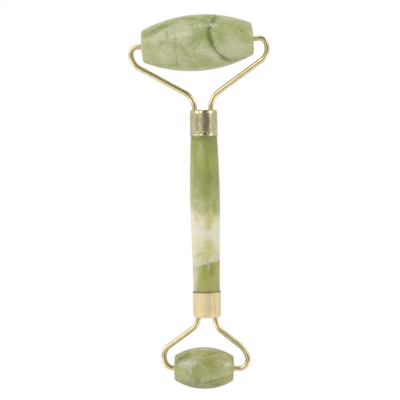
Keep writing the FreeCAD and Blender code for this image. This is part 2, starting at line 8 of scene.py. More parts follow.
import json
import math

import bmesh
import bpy
import numpy as np
from mathutils import Matrix, Vector


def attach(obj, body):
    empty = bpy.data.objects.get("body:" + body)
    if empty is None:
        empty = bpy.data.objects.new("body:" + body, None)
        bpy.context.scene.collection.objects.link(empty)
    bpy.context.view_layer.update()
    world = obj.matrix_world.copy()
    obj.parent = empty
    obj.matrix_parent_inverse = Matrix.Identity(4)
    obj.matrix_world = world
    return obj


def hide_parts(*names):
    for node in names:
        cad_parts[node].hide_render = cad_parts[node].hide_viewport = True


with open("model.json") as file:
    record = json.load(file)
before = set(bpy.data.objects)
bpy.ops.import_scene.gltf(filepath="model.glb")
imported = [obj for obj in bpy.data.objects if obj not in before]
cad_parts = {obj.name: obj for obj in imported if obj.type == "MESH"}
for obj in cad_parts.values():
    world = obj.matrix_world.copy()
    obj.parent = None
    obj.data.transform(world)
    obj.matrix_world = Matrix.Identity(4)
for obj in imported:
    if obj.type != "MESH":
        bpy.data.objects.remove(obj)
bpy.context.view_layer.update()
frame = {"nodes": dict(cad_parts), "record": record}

MM = 0.001

# Sizes in millimetres and degrees, as in the CAD parts.
ROD = dict(end_radius=5.13, belly_radius=5.78, belly_place=5.0, fade_length=9.0, fade_radius=330.0,
           spigot_radius=4.85, spigot_bevel=0.25)
FERRULE = dict(wall=0.35, end_wall=0.5, inner_round=0.3, hole_radius=1.05)
WIRE = dict(radius=1.0, corner=1.5, crossbar_gap=0.1, stub_depth=7.0, end_bevel=0.15)
STONE = dict(bore=2.0, bore_bevel=0.25)
BUSH = dict(bore=1.06, outer=1.98, length=6.0, recess=0.35, bevel=0.2)
LARGE = dict(
    name="large", mouth=29.84,
    ferrule_radius=5.3, ferrule_length=10.1, ferrule_round=0.7, spigot_length=6.3,
    axle_offset=1.87, axle_reach=36.02, axle_tilt=3.2,
    stone_half=21.75, stone_radius=10.9, barrel_arc=50.0, face_arc=40.0, rim_round=1.2,
    left=dict(leg=3.5, rise=0.71, throat=6.8, arm=29.3, elbow=6.8, elbow_turn=57.4, hook=2.7),
    right=dict(leg=2.8, rise=0.16, throat=8.7, arm=35.3, elbow=5.8, elbow_turn=77.7, hook=2.7),
)
SMALL = dict(
    name="small", mouth=30.1,
    ferrule_radius=5.4, ferrule_length=10.08, ferrule_round=0.8, spigot_length=6.9,
    axle_offset=1.6, axle_reach=29.97, axle_tilt=1.6,
    stone_half=11.65, stone_radius=8.12, barrel_arc=21.1, face_arc=42.0, rim_round=1.0,
    left=dict(leg=3.5, rise=0.12, throat=5.4, arm=35.4, elbow=5.2, elbow_turn=95.8, hook=2.7),
    right=dict(leg=3.05, rise=0.2, throat=7.3, arm=38.9, elbow=9.0, elbow_turn=37.4, hook=3.4),
)
SIDES = (("left", -1), ("right", 1))


# Places


def named(rows, name):
    return next(row for row in rows if row["name"] == name)


def place(origin, x_axis, z_axis):
    """A placement at origin, in metres, with its Z along z_axis and its X as near x_axis as it can be."""
    z_axis = z_axis.normalized()
    x_axis = (x_axis - z_axis * x_axis.dot(z_axis)).normalized()
    turned = Matrix((x_axis, z_axis.cross(x_axis), z_axis)).transposed()
    return Matrix.Translation(origin) @ turned.to_4x4()


UP = Vector((0, 0, 1))
ACROSS = Vector((1, 0, 0))
grip = named(frame["record"]["mounts"], "handle_grip")
handle_middle = Vector(grip["pos_m"])
handle_axis = Vector(grip["axis"])


def mouth_place(end, x_axis):
    """The ferrule's mouth, with +Z out along the handle."""
    outwards = handle_axis if end is LARGE else -handle_axis
    return place(handle_middle + outwards * end["mouth"] * MM, x_axis, outwards)


def stone_place(end):
    """The stone's middle, with +Z along its axle and +X up."""
    joint = named(frame["record"]["behaviour"]["joints"], f"{end['name']}_roller_spin")
    return place(Vector(joint["pos_m"]), UP, Vector(joint["axis"]))


# Meshes

SHARP_ANGLE = 38
ON_AXIS = 1e-6


def draw(name, points, faces):
    """A new object with a mesh drawn in millimetres."""
    mesh = bpy.data.meshes.new(name)
    mesh.from_pydata([tuple(point) for point in np.asarray(points) * MM], [], faces)
    drawn = bpy.data.objects.new(name, mesh)
    bpy.context.scene.collection.objects.link(drawn)
    return drawn


def add_piece(name, points, faces, where, body, stands_for, material):
    """A smooth-shaded piece that rides on a body and stands for a CAD node."""
    piece = draw(name, points, faces)
    piece.data.shade_smooth()
    piece.data.set_sharp_from_angle(angle=math.radians(SHARP_ANGLE))
    piece.data.materials.append(material)
    piece.matrix_world = where
    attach(piece, body)
    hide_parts(stands_for)
    return piece


def facing(degrees):
    """The flat unit vector at an angle from the first axis towards the second."""
    return np.array((math.cos(math.radians(degrees)), math.sin(math.radians(degrees))))


class Outline:
    """Half a section, drawn from point to point as (radius, height), with points about spacing apart."""

    def __init__(self, start):
        self.points = [start]

    def line(self, finish, spacing):
        start, finish = np.array(self.points[-1]), np.array(finish)
        steps = max(1, math.ceil(math.dist(start, finish) / spacing))
        self.points += [tuple(start + (finish - start) * step / steps) for step in range(1, steps + 1)]

    def arc(self, centre, finish, spacing):
        """Goes round the centre to finish, the shorter way."""
        start = self.points[-1]
        radius = math.dist(centre, start)
        first = math.atan2(start[1] - centre[1], start[0] - centre[0])
        last = math.atan2(finish[1] - centre[1], finish[0] - centre[0])
        turn = (last - first + math.pi) % math.tau - math.pi
        steps = max(3, math.ceil(abs(turn) * radius / spacing))
        for step in range(1, steps + 1):
            angle = first + turn * step / steps
            self.points.append((centre[0] + radius * math.cos(angle), centre[1] + radius * math.sin(angle)))


def lathe(outline, sides, ring=False):
    """Turns an outline of (radius, height) about Z. ring joins its last point back to its first one.

    A point on the axis becomes one vertex. Gives the points, and the faces with their normals outwards.
    """
    points, rows, faces = [], [], []
    for radius, height in outline:
        if radius < ON_AXIS:
            rows.append([len(points)] * sides)
            points.append((0.0, 0.0, height))
            continue
        rows.append(range(len(points), len(points) + sides))
        for side in range(sides):
            angle = math.tau * side / sides
            points.append((radius * math.cos(angle), radius * math.sin(angle), height))
    pairs = list(zip(rows, rows[1:]))
    if ring:
        pairs.append((rows[-1], rows[0]))
    for lower, upper in pairs:
        for side in range(sides):
            after = (side + 1) % sides
            corners = (lower[side], lower[after], upper[after], upper[side])
            faces.append(tuple(dict.fromkeys(corners)))
    return np.array(points), faces


def circles_meet(centre_a, radius_a, centre_b, radius_b):
    """Where two circles meet: of the two points, the one further out from the axis."""
    apart = np.array(centre_b) - np.array(centre_a)
    gap = math.hypot(*apart)
    along = (radius_a**2 - radius_b**2 + gap**2) / (2 * gap)
    ahead = apart / gap
    foot = np.array(centre_a) + ahead * along
    aside = np.array((-ahead[1], ahead[0])) * math.sqrt(radius_a**2 - along**2)
    return max(foot + aside, foot - aside, key=lambda point: point[0])


def towards(start, through, distance):
    """The point at a distance from start on the way through another point."""
    start, through = np.array(start), np.array(through)
    return tuple(start + (through - start) * distance / math.dist(start, through))


# Stones and rod

STONE_GRID = 0.25
PLAIN_WALL_GRID = 1.5
STONE_SIDES = dict(large=264, small=200)
ROD_SIDES = 160


def stone_outline(end):
    """Half section of a bored barrel with domed faces, as a ring of (radius, place along the axle)."""
    half, widest, bow = end["stone_half"], end["stone_radius"], end["barrel_arc"]
    barrel_centre = (widest - bow, 0)
    face_centre = (0, half - end["face_arc"])
    rim = end["rim_round"]
    rim_centre = circles_meet(barrel_centre, bow - rim, face_centre, end["face_arc"] - rim)
    barrel_touch = towards(barrel_centre, rim_centre, bow)
    face_touch = towards(face_centre, rim_centre, end["face_arc"])
    bore, bevel = STONE["bore"], STONE["bore_bevel"]
    face_start = face_centre[1] + math.sqrt(end["face_arc"]**2 - (bore + bevel)**2)
    upper = Outline((bore, 0))
    upper.line((bore, face_start - bevel), PLAIN_WALL_GRID)
    upper.line((bore + bevel, face_start), STONE_GRID)
    upper.arc(face_centre, face_touch, STONE_GRID * 2)
    upper.arc(rim_centre, barrel_touch, STONE_GRID / 2)
    upper.arc(barrel_centre, (widest, 0), STONE_GRID)
    lower = [(radius, -height) for radius, height in upper.points[1:-1]]
    return upper.points[::-1] + lower


def barrel_radius(end, along):
    """The stone's radius at a place along its axle, its rims and faces left out."""
    bow = end["barrel_arc"]
    return end["stone_radius"] - bow + math.sqrt(bow**2 - along**2)


def rod_radius(height):
    """The handle's radius: two long arcs meet at its belly, and a hollow one runs to the small end."""
    belly_r, end_r, belly = ROD["belly_radius"], ROD["end_radius"], ROD["belly_place"]
    fade_r, fade = ROD["fade_radius"], ROD["fade_length"]
    if height >= belly:
        run, drop = LARGE["mouth"] - belly, belly_r - end_r
        upper_r = (run**2 + drop**2) / (2 * drop)
        return belly_r - upper_r + math.sqrt(upper_r**2 - (height - belly)**2)
    if height >= belly - fade:
        return belly_r - fade_r + math.sqrt(fade_r**2 - (height - belly)**2)
    inward = np.array((-math.sqrt(fade_r**2 - fade**2), fade)) / fade_r
    turning = np.array((belly_r - fade_r, belly)) - inward * fade_r
    across = np.array((end_r, -SMALL["mouth"])) - turning
    hollow_r = -across.dot(across) / (2 * across.dot(inward))
    hollow_centre = turning - inward * hollow_r
    return hollow_centre[0] - math.sqrt(hollow_r**2 - (height - hollow_centre[1])**2)


def rod_outline():
    """Half section of the handle from its small end to its large one, both spigots included."""
    spigot, bevel = ROD["spigot_radius"], ROD["spigot_bevel"]
    bottom, top = -SMALL["mouth"], LARGE["mouth"]
    bottom_end, top_end = bottom - SMALL["spigot_length"], top + LARGE["spigot_length"]
    axis = Outline((0, bottom))
    axis.line((0, top), STONE_GRID)
    rod = Outline((0, bottom_end))
    rod.points += [(spigot - bevel, bottom_end), (spigot, bottom_end + bevel)]
    rod.line((spigot, bottom), PLAIN_WALL_GRID)
    rod.points += [(rod_radius(height), height) for _, height in axis.points] + [(spigot, top)]
    rod.line((spigot, top_end - bevel), PLAIN_WALL_GRID)
    return rod.points + [(spigot - bevel, top_end), (0, top_end)]


# The waves of a hand-ground surface: how many go round the piece, their length along it, and a shift.
GRINDING_WAVES = ((2, 31, 0.4), (3, 17, 1.9), (5, 11, 3.1), (8, 7.5, 5.2), (13, 5, 2.2))
STONE_GRINDING = 0.07
ROD_GRINDING = 0.05


def hand_ground(points, depth, variant):
    """Lowers the surface by up to depth in long shallow waves. Each variant has its own waves."""
    x, y, height = points.T
    radius, angle = np.hypot(x, y), np.arctan2(y, x)
    wave = np.zeros(len(points))
    for turns, pitch, shift in GRINDING_WAVES:
        wave += np.sin(turns * angle + height * math.tau / pitch + shift * variant) / turns**0.5
    lowered = 1 - depth * (wave - wave.min()) / (wave.max() - wave.min()) / np.maximum(radius, 1)
    # The stones' bores and the handle's spigots keep their size.
    outside = radius > ROD["spigot_radius"]
    points[outside, :2] *= lowered[outside, None]
    return points


# Marks in the stone: strokes laid on the surface, from which the materials take their veins

# How an edge fades: the scale and strength of its raggedness, and where its mark goes from whole to
# nothing, in half widths from the middle.
EDGES = dict(soft=((0.5, 2.6), (-0.2, 1.6)), crisp=((1, 1.7), (0.1, 1.3)), broken=((1.8, 5), (0.1, 1.3)))
# The crystal marks are white crystals on the handle and the small stone, and a painted highlight on the
# large stone.
# The vein and deep marks are veins and dark patches in the stone, and on the handle also painted shade just
# below the large ferrule.
MARK_EDGES = dict(vein="crisp", line="crisp", deep="soft", green="soft", olive="soft", haze="soft",
                  pale="soft", crystal="broken")
BEYOND_MARKS = 3.0
ROUTE_STEPS = 6


def smooth_route(route):
    """Points on a smooth curve through the route's own points."""
    if len(route) < 3:
        return route
    ends = [route[0] * 2 - route[1]] + route + [route[-1] * 2 - route[-2]]
    curve = []
    for before, here, after, beyond in zip(ends, ends[1:], ends[2:], ends[3:]):
        for step in range(ROUTE_STEPS):
            part = step / ROUTE_STEPS
            curve.append(0.5 * (2 * here + (after - before) * part
                                + (2 * before - 5 * here + 4 * after - beyond) * part**2
                                + (3 * here - before - 3 * after + beyond) * part**3))
    return curve + [route[-1]]


def marks_field(points, marks, radius_at):
    """For each point, the distance to the nearest mark over that mark's half width, up to BEYOND_MARKS.

    A mark is its half width and the points of its route, each the place along the axis and the degrees
    from the top of the piece, towards +Y on a stone and towards -X on the handle.
    """
    field = np.full(len(points), BEYOND_MARKS)
    for half_width, *route in marks:
        on_surface = []
        for along, degrees in route:
            x, y = radius_at(along) * facing(degrees)
            on_surface.append(np.array((x, -y, along)))
        curve = smooth_route(on_surface)
        for start, finish in zip(curve, curve[1:]):
            reach = finish - start
            part = np.clip((points - start) @ reach / (reach @ reach), 0, 1)
            distance = np.linalg.norm(points - start - part[:, None] * reach, axis=1)
            field = np.minimum(field, distance / half_width)
    return field


def add_fields(piece, points, marks, radius_at):
    """Stores each kind of mark on the mesh as a number at every vertex."""
    for kind in MARK_EDGES:
        field = marks_field(points, marks.get(kind, []), radius_at)
        attribute = piece.data.attributes.new(kind, "FLOAT", "POINT")
        attribute.data.foreach_set("value", field.astype(np.float32))


LARGE_MARKS = dict(vein=[
    (0.6, (6.8, 90), (7.6, 70), (7.2, 56)),
    (0.9, (7, 52), (6.4, 44)),
    (0.7, (6.4, 44), (6.1, 36), (5.2, 28), (4.4, 18), (4.7, 6)),
    (0.9, (4.6, 14), (4.9, 4), (5.4, -6)),
    (0.6, (5.4, -6), (6.3, -18), (7.2, -26), (8.2, -33)),
    (0.9, (8.4, -34), (9.4, -42), (10.4, -50)),
    (0.6, (10.4, -50), (12.2, -59), (14.6, -63), (17.4, -66)),
    (0.5, (17.2, 19), (16.9, 23)),
    (0.4, (17.4, -66), (18.6, -85), (17.8, -104), (15.6, -124)),
    (0.4, (6.8, 90), (4.8, 112), (1.8, 128)),
    (0.7, (1.8, 128), (-2.8, 143), (-8, 152)),
    (0.5, (-8, 152), (-11.8, 166), (-13.4, -176)),
    (0.3, (-13.4, -176), (-14.2, -160), (-13.2, -146)),
    (0.35, (4.2, -142), (8.6, -156), (10.8, -172), (14.8, 174)),
], line=[
    (0.5, (-8, 12), (-8.4, 5), (-9, -12), (-8.4, -25), (-8.3, -52), (-7.6, -66)),
    (0.5, (-13.5, 6), (-11.5, 2), (-9, 1)),
    (0.6, (-11.5, 28), (-11, 18), (-11.6, 8)),
    (0.6, (2, 20), (1.6, 6), (0.2, -6), (-1.5, -14)),
    (0.7, (-5.4, -14), (-4.6, -24), (-2.8, -32)),
    (0.45, (9.5, -40), (12.5, -52), (15.5, -50)),
    (0.7, (-19, 24), (-15.5, 33), (-12, 44), (-8, 52)),
    (0.6, (-2, 33), (-1, 40), (1, 44)),
    (0.5, (-15, 120), (-13, 150), (-14, 175), (-12, -160)),
    (0.5, (0, 120), (2, 150), (1, -170), (3, -140)),
], deep=[
    (1.3, (-19.6, 38), (-17, 41), (-14.6, 47), (-11.5, 53)),
    (1.9, (5, 60), (7.6, 54), (6.6, 42)),
    (0.9, (2.4, 48), (4.4, 42)),
    (1.1, (5.4, 34), (4.5, 20), (4.8, 4), (5.8, -12)),
    (1, (9, -40), (10.6, -50)),
    (1.3, (-4.5, 62), (-1.5, 58)),
    (1.5, (-9, 160), (-2, 145), (5, 140)),
], green=[
    (2.2, (-19.6, 46), (-16.4, 45), (-13, 50), (-8.7, 57), (-4.9, 66)),
    (1.4, (-18.6, 40), (-16.4, 41), (-13.5, 46)),
    (2.4, (-2.1, 52), (2.5, 56), (8, 58)),
    (1.7, (6.2, 46), (4.9, 30), (4.2, 14), (5.2, -4), (6.9, -20)),
    (2.4, (9.1, 40), (13.5, 40)),
    (2.6, (-2.5, -54), (3.5, -46)),
    (1.4, (0.2, 24), (-1, 6), (-2, -6)),
    (2.8, (8.2, 20), (8.6, 2)),
    (1.6, (17.2, 27), (18.4, 12)),
    (2.6, (-14, -150), (-7, -165)),
    (2.6, (10, -110), (14, -128)),
], olive=[
    (1.7, (19.9, -14), (19.4, -40)),
    (1.3, (-2.6, -26), (0, -30)),
    (1.6, (-18.5, 4), (-17.4, -10)),
    (1.8, (10.5, 30), (14, 26), (17, 14)),
    (2.2, (10, 155), (13, 176)),
], pale=[
    (2.8, (-17.6, 14), (-13.6, 26), (-10, 34)),
    (2.4, (-13.5, -22), (-12.5, -42)),
    (2.6, (-1.5, -8), (3, -20), (5.8, -38)),
    (2.4, (12.6, -4), (14.2, -18), (13.6, -34)),
    (2.6, (-6.5, 34), (-4, 20), (-5, 4)),
    (0.6, (-19, 18), (-16, 26), (-12.5, 36), (-10, 40)),
    (0.5, (-6.8, 44), (-5.2, 38), (-3.6, 40)),
    (1, (-14, 74), (-6, 80), (2, 82), (9, 78)),
    (2.6, (-5, 130), (-3, 165)),
], crystal=[
    # Painted highlight: these white streaks stand in for a reflection of the studio light on the large
    # stone.
    (0.26, (1, 34), (3.2, 33), (4.9, 35)),
    (0.5, (5.4, 38), (6.5, 31)),
    (0.3, (5.2, 30), (6.2, 38), (7.4, 35)),
    (0.24, (7.2, 32), (8.2, 34)),
])
SMALL_MARKS = dict(vein=[
    (0.5, (-0.6, 40), (1.2, 43), (3.2, 50), (4.9, 59)),
    (0.6, (-1, -43), (1.2, -38), (3.4, -33), (5.4, -31), (7.4, -26)),
    (1.1, (-5.5, -66), (-1, -72), (3.5, -68)),
    (0.3, (-8.6, 128), (-6.4, 142), (-4.2, 150)),
    (0.6, (-4.2, 150), (0.2, 163), (3.6, 160)),
    (0.35, (3.6, 160), (6.6, 168), (8.8, -176)),
], line=[
    (0.5, (-4.6, 24), (-4.2, 8), (-4.4, -10), (-3.6, -28), (-2.6, -40)),
    (0.28, (2, 14), (4.4, 8), (6.8, 12)),
    (0.28, (-1, 22), (0.6, 18), (1.8, 22)),
    (0.28, (-8, -150), (-3, -165), (4, -158)),
], deep=[
    (1.3, (-10.6, 30), (-9.2, 40), (-6.4, 48)),
    (2.8, (-6.5, -60), (0, -66), (6, -62)),
    (1.3, (-3.4, -52), (-2.2, -36), (-2, -28)),
    (0.8, (2, -37), (5, -33)),
    (1.6, (-5, -76), (0, -80), (5, -76)),
    (1.6, (-3, 160), (3, 150)),
], green=[
    (1.5, (-9.4, 40), (-7.4, 46)),
    (1.5, (-2, 22), (-2.4, 6), (-2.6, -24)),
    (1.2, (-1.6, 18), (0.6, 24)),
    (1.6, (-4.5, -60), (0.5, -66), (4, -62)),
], olive=[
    (1.2, (-7.6, 50), (-3, 50), (1, 49), (3.6, 56)),
    (1.6, (3.2, 2), (5.4, -12)),
    (1.5, (8.6, -6), (7.4, -30)),
    (1.3, (6.4, 34), (8.8, 32)),
    (1.3, (5, 22), (6.6, 14)),
    (1, (-9.8, 6), (-9.8, -10)),
    (1, (0.8, -50), (3, -48)),
], pale=[
    (1.9, (-8.6, 18), (-6.4, 17), (-4.8, 22)),
    (1.2, (-6.2, 6), (-5.2, -4)),
    (1.2, (9.6, 20), (8.4, 12)),
    (1, (-1, 70), (2, 72)),
    (1.2, (5.5, 150), (7.5, 170)),
], haze=[
    (0.5, (-3.6, 31), (-1.6, 37), (0.8, 41), (2.8, 40), (4.6, 46)),
    (1.6, (-7.4, -28), (-5.8, -50)),
    (1, (-1, 8), (1.4, 0)),
    (1.4, (7, 4), (9, -4)),
    (1.6, (-5, 66), (0, 72), (5, 66)),
], crystal=[
    (0.3, (-7, 24), (-5.6, 18)),
    (0.26, (9.4, 24), (9.6, 18)),
    (0.22, (1.4, -22), (1.7, -24)),
])
ROD_MARKS = dict(vein=[
    # Painted shade: this dark line round the handle lies just below the large ferrule's mouth.
    (0.35, (29.7, 60), (29.7, 0), (29.7, -60)),
    (0.6, (20, 170), (14, 160), (10, 172)),
], line=[
    (0.35, (28, -32), (22, -33), (16.5, -36)),
    (0.34, (-17.6, -3), (-18.6, -6), (-19.9, -7)),
    (0.3, (28, 140), (20, 150), (12, 145)),
], deep=[
    (1.6, (17, -12), (14.5, -22), (11.5, -10)),
    # Painted shade: this dark band round the handle lies just below the large ferrule's mouth.
    (1.4, (29.4, 60), (29.4, 0), (29.4, -60)),
    (1.2, (25, -58), (19, -60), (11, -58)),
    (1.4, (-20.6, -34), (-23, -28)),
    (1.6, (20, 170), (12, 165)),
], green=[
    (1.1, (27, -4), (23, -10), (18.5, -10)),
    (1, (26.5, 42), (21.5, 46), (18, 40)),
    (1.6, (9.6, 6), (6.6, -6)),
    (1.6, (-21, 6), (-25, 10)),
    (1.1, (-20, -22), (-23, -20)),
    (1.6, (3.6, -34), (0.6, -40)),
], olive=[
    (1.2, (-1.2, 42), (-2.2, 36)),
    (1.6, (-0.8, -20), (-2.6, -16), (-4.6, -10)),
    (2.2, (-11.4, -18), (-14, -12), (-15.8, 0)),
    (1.1, (-15, 16), (-16, 36)),
    (1.4, (-14, -160), (-16, 170)),
    (1.2, (-4, 140), (-1.5, 155)),
], pale=[
    (2.6, (-19.4, 56), (-23, 62), (-26, 66)),
    (1.4, (-26, 66), (-29, 72)),
    (1.1, (-16.4, -34), (-17.6, -26)),
    (1, (-18.4, 14), (-18.6, 2)),
    (0.5, (-19.6, -8), (-20.8, -9)),
    (1.3, (0.4, 44), (-0.2, 34)),
], haze=[
    (1.8, (26, 14), (22.2, 18)),
    (1.5, (20, 64), (8, 64)),
    (1.6, (2.6, 26), (4.6, 18)),
], crystal=[
    (0.26, (-17.1, 8), (-17.9, -3)),
    (0.26, (-15.8, -34), (-17.4, -24)),
    (0.22, (-18.9, -7), (-20.4, -8)),
])


# Materials


def linear(red, green, blue):
    """A colour of a screen's 0 to 255 scale as the linear colour that the shaders take."""
    return tuple(((value / 255 + 0.055) / 1.055) ** 2.4 for value in (red, green, blue)) + (1.0,)


def new_material(name):
    material = bpy.data.materials.new(name)
    material.use_nodes = True
    return material, material.node_tree, material.node_tree.nodes["Principled BSDF"]


def fill(node, inputs):
    """Sets a node's inputs: an output socket is linked, and anything else is the input's own value."""
    tree = node.id_data
    for key, value in inputs.items():
        if isinstance(value, bpy.types.NodeSocket):
            tree.links.new(value, node.inputs[key])
        else:
            node.inputs[key].default_value = value


def add(tree, kind, inputs, **settings):
    node = tree.nodes.new(f"ShaderNode{kind}")
    for name, value in settings.items():
        setattr(node, name, value)
    fill(node, inputs)
    return node


def calc(tree, operation, first, second=0.0):
    return add(tree, "Math", {0: first, 1: second}, operation=operation).outputs[0]


def rescale(tree, value, low, high, to_low=0.0, to_high=1.0):
    """Maps low to high smoothly onto to_low to to_high, and holds beyond them."""
    inputs = {0: value, 1: low, 2: high, 3: to_low, 4: to_high}
    return add(tree, "MapRange", inputs, interpolation_type="SMOOTHSTEP").outputs[0]


def blend(tree, amount, first, second, way="MIX"):
    inputs = {0: amount, 6: first, 7: second}
    return add(tree, "Mix", inputs, data_type="RGBA", blend_type=way).outputs[2]


def millimetres(tree, stretch=(1.0, 1.0, 1.0)):
    """The piece's own coordinates in millimetres, multiplied by stretch."""
    own = add(tree, "TexCoord", {}).outputs["Object"]
    inputs = {"Vector": own, "Scale": tuple(value / MM for value in stretch)}
    return add(tree, "Mapping", inputs).outputs[0]


def noise(tree, vector, scale, detail=3.0, rough=0.5, twist=0.0):
    """A noise from 0 to 1, with scale waves to each unit of vector."""
    inputs = {"Vector": vector, "Scale": scale, "Detail": detail, "Roughness": rough, "Distortion": twist}
    return add(tree, "TexNoise", inputs).outputs[0]


def swing(tree, vector, scale, **shape):
    """A noise about zero."""
    return calc(tree, "SUBTRACT", noise(tree, vector, scale, **shape), 0.5)


def ragged_edge(tree, vector, scale, amount):
    """A fine noise about zero that roughens the edge of a mark or a band."""
    return calc(tree, "MULTIPLY", swing(tree, vector, scale, detail=4.0, rough=0.6), amount)


def ramp(tree, value, stops):
    """A colour ramp through stops of (place, colour)."""
    node = add(tree, "ValToRGB", {0: value})
    elements = node.color_ramp.elements
    for _ in stops[2:]:
        elements.new(0.5)
    for element, (position, colour) in zip(elements, stops):
        element.position = position
        element.color = colour
    return node.outputs[0]


def bump(tree, height, distance):
    """A normal that follows height, which runs from 0 to 1 over distance millimetres."""
    return add(tree, "Bump", {"Height": height, "Distance": distance * MM, "Strength": 1.0}).outputs[0]


def mark(tree, kind, ragged, border, strength):
    """How strongly a kind of mark shows, from its stored field with a ragged edge."""
    field = add(tree, "Attribute", {}, attribute_name=kind).outputs["Fac"]
    return rescale(tree, calc(tree, "ADD", field, ragged), *border, strength, 0.0)


def shade_of(tree, value, amount):
    """A grey about white that darkens where value is low and lightens where it is high."""
    low, high = 1 - amount, 1 + amount
    return ramp(tree, value, [(0.3, (low, low, low, 1)), (0.7, (high, high, high * 1.02, 1))])


WEB_WIDTH = 0.04
JADE_ROUGHNESS = (0.17, 0.28)


def jade(name, ground, web, grain, streaks, specks, **marks):
    """Polished jade. ground draws its clouded colour, and the web, the marks and the grain lie over it.

    web is the tone and strength of a net of faint veins. grain stretches the streaks along the piece's
    own axes, and streaks and specks say how strong they are. marks are (tone, strength) by kind.
    """
    material, tree, shader = new_material(name)
    own = millimetres(tree)
    colour = ground(tree, own)
    web_tone, web_strength = web
    ridge = swing(tree, own, 0.24, detail=2.0, twist=1.4)
    in_web = rescale(tree, calc(tree, "ABSOLUTE", ridge), 0.0, WEB_WIDTH, web_strength, 0.0)
    colour = blend(tree, in_web, colour, linear(*web_tone))
    ragged = {edge: ragged_edge(tree, own, *shape) for edge, (shape, _) in EDGES.items()}
    for kind, (tone, strength) in marks.items():
        edge = MARK_EDGES[kind]
        shows = mark(tree, kind, ragged[edge], EDGES[edge][1], strength)
        colour = blend(tree, shows, colour, linear(*tone))
    streak = noise(tree, millimetres(tree, grain), 1.0, detail=5.0, rough=0.7)
    speck = noise(tree, own, 2.4, rough=0.7)
    # Pale stone is clearer, and shows less of the grain.
    paleness = add(tree, "RGBToBW", {0: colour}).outputs[0]
    clouded = rescale(tree, paleness, 0.6, 0.85, 1.0, 0.4)
    colour = blend(tree, clouded, colour, shade_of(tree, streak, streaks), "MULTIPLY")
    colour = blend(tree, clouded, colour, shade_of(tree, speck, specks), "MULTIPLY")
    wave = noise(tree, own, 0.5, detail=2.0)
    fill(shader, {
        "Base Color": colour,
        "Roughness": rescale(tree, speck, 0.35, 0.75, *JADE_ROUGHNESS),
        "IOR": 1.6,
        "Normal": bump(tree, wave, 0.05),
        "Subsurface Weight": 0.3,
        "Subsurface Radius": (1.0, 1.0, 0.6),
        "Subsurface Scale": 0.9 * MM,
    })
    return material


CLOUD_STOPS = (0.30, 0.46, 0.58, 0.72)


def clouds(scale, *tones):
    """A roller's ground: soft clouds that pass through the tones."""
    def ground(tree, own):
        cloud = noise(tree, own, scale, twist=0.5)
        return ramp(tree, cloud, [(stop, linear(*tone)) for stop, tone in zip(CLOUD_STOPS, tones)])
    return ground


# Cream, celadon and leaf green for the large roller, and a little darker and yellower for the small one.
CELADON = clouds(0.14, (210, 211, 166), (202, 204, 154), (193, 197, 142), (182, 189, 124))
OLIVE_CELADON = clouds(0.2, (196, 197, 150), (186, 187, 128), (178, 179, 112), (168, 170, 98))

# The handle's colours from its small end: the place along it in millimetres, and the colour there.
ROD_BANDS = [
    (-30.0, (182, 180, 112)), (-23.0, (190, 188, 108)), (-19.7, (180, 180, 94)), (-19.0, (224, 219, 178)),
    (-14.0, (236, 231, 190)), (-8.0, (246, 241, 216)), (-3.5, (245, 239, 208)), (-1.0, (230, 225, 176)),
    (1.8, (206, 204, 146)), (4.8, (190, 192, 128)), (8.5, (179, 182, 114)), (14.0, (166, 170, 94)),
    (21.0, (180, 183, 104)), (26.0, (168, 174, 90)), (30.0, (148, 156, 84)),
]
# How far the clouds push the bands, and how the bands lean: each goes, between two places along the
# handle, from one value to another.
CLOUDINESS = (-17.0, -6.0, 0.0, 9.0)
LEAN = (-16.0, -10.0, -0.25, 0.3)


def banded(tree, own):
    """The handle's ground: green at both ends and cream between, with a clouded and a sharp border."""
    _, sideways, height = add(tree, "SeparateXYZ", {0: own}).outputs
    cloudiness = rescale(tree, height, *CLOUDINESS)
    cloud = swing(tree, own, 0.3, detail=1.0)
    mottle = swing(tree, own, 0.75, detail=2.0)
    # Both borders lean: the sharp one rises towards +X, and the clouded one reaches further up at -X.
    lean = rescale(tree, height, *LEAN)
    shifts = (
        calc(tree, "MULTIPLY", cloud, cloudiness),
        calc(tree, "MULTIPLY", mottle, cloudiness),
        ragged_edge(tree, own, 0.6, 1.4),
        calc(tree, "MULTIPLY", sideways, lean),
    )
    for shift in shifts:
        height = calc(tree, "ADD", height, shift)
    low, high = ROD_BANDS[0][0], ROD_BANDS[-1][0]
    part = add(tree, "MapRange", {0: height, 1: low, 2: high}).outputs[0]
    return ramp(tree, part, [((at - low) / (high - low), linear(*tone)) for at, tone in ROD_BANDS])


LIP_STRENGTH = 0.9
LIP_FADE = (0.7, 1.4)
SEAM_STRENGTH = 0.45
SEAM_FADE = (0.05, 0.42)
SEAM_END = 0.5


def lip_tarnish_and_shade(tree, own, reach):
    """A dark lip round a cup's mouth, partly tarnish and partly painted shade at the mouth's edge, which
    fades out round a height of reach.
    """
    _, _, height = add(tree, "SeparateXYZ", {0: own}).outputs
    wavy = calc(tree, "ADD", height, ragged_edge(tree, own, 0.4, 1.3))
    whole, gone = LIP_FADE
    return rescale(tree, wavy, reach * whole, reach * gone, LIP_STRENGTH, 0.0)


def seam_mask(tree, own, degrees, radius, top):
    """A seam along a cup up to a height of top, at an angle from the cup's own +X towards its +Y."""
    x, y, height = add(tree, "SeparateXYZ", {0: own}).outputs
    strength = rescale(tree, height, top - SEAM_END, top, SEAM_STRENGTH, 0.0)
    around = calc(tree, "SUBTRACT", calc(tree, "ARCTAN2", y, x), math.radians(degrees))
    aside = calc(tree, "MULTIPLY", calc(tree, "ABSOLUTE", around), radius)
    away = calc(tree, "ADD", aside, ragged_edge(tree, own, 0.7, 1.1))
    return rescale(tree, away, *SEAM_FADE, strength, 0.0)


